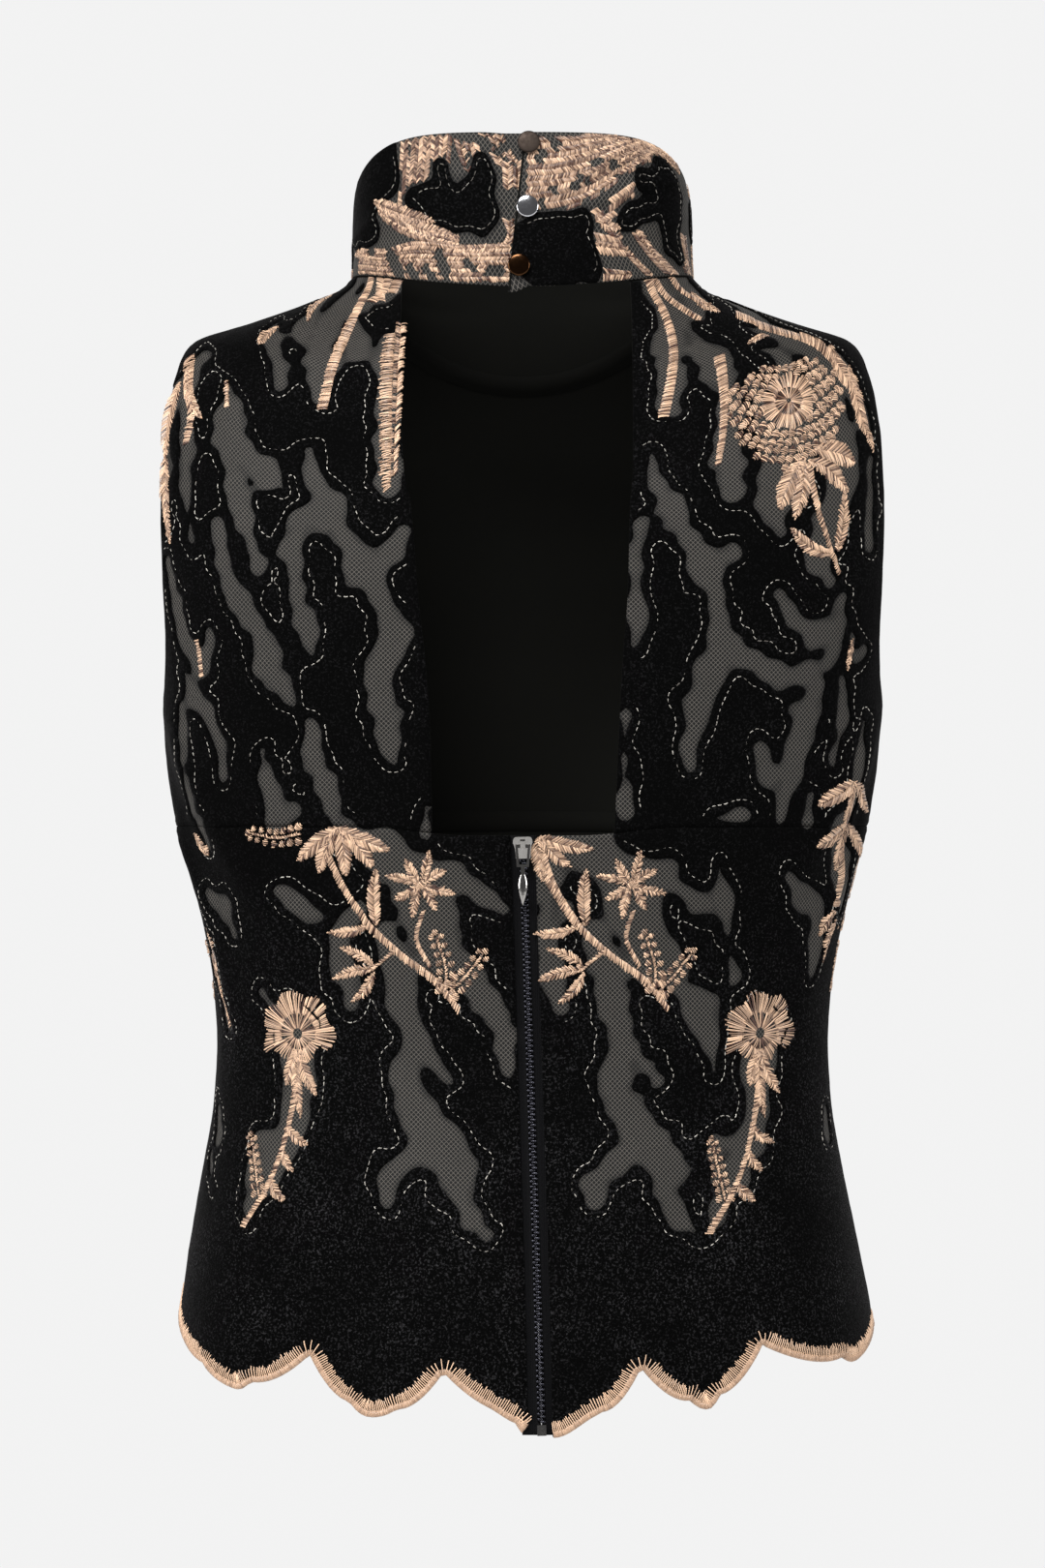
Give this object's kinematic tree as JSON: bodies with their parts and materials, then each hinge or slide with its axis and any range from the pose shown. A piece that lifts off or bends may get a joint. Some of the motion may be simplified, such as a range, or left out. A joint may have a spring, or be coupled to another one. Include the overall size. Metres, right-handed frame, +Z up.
{
  "type": "sleeveless blouse",
  "caption": "Sleeveless fitted blouse in its worn form, with a snapped stand collar, an open back, a back zip and a scalloped hem.",
  "frame": {"origin": "between the points where the two shoulder seams meet the collar, at that height, on the middle of the neck, which is where the shoulders carry the blouse", "axes": "+Z up along the wearer, -Y the way the blouse's front faces, +X towards the wearer's left"},
  "size_m": [0.3326, 0.2331, 0.5747],
  "materials": {
    "cloth": "black velvet on black net",
    "tape": "woven polyester tape",
    "metal": "polished"
  },
  "bodies": {
    "blouse": {"front_upper": "cloth", "back_upper_left": "cloth", "back_upper_right": "cloth", "front_lower": "cloth", "back_lower_left": "cloth", "back_lower_right": "cloth", "collar": "cloth", "zip_tape_left": "tape", "zip_tape_right": "tape", "zip_chain": "metal", "zip_slider": "metal", "zip_retainer": "metal", "snap_top": "metal", "snap_top_back": "metal", "snap_middle": "metal", "snap_middle_back": "metal", "snap_bottom": "metal", "snap_bottom_back": "metal"},
    "pull_tab": {"zip_pull": "metal"}
  },
  "joints": [
    {"name": "pull_tab_swing", "type": "hinge", "parent": "blouse", "child": "pull_tab", "pos_m": [-0.00014, 0.09205, -0.26137], "axis": [1, 0, 0], "range_deg": [-5, 150]}
  ]
}
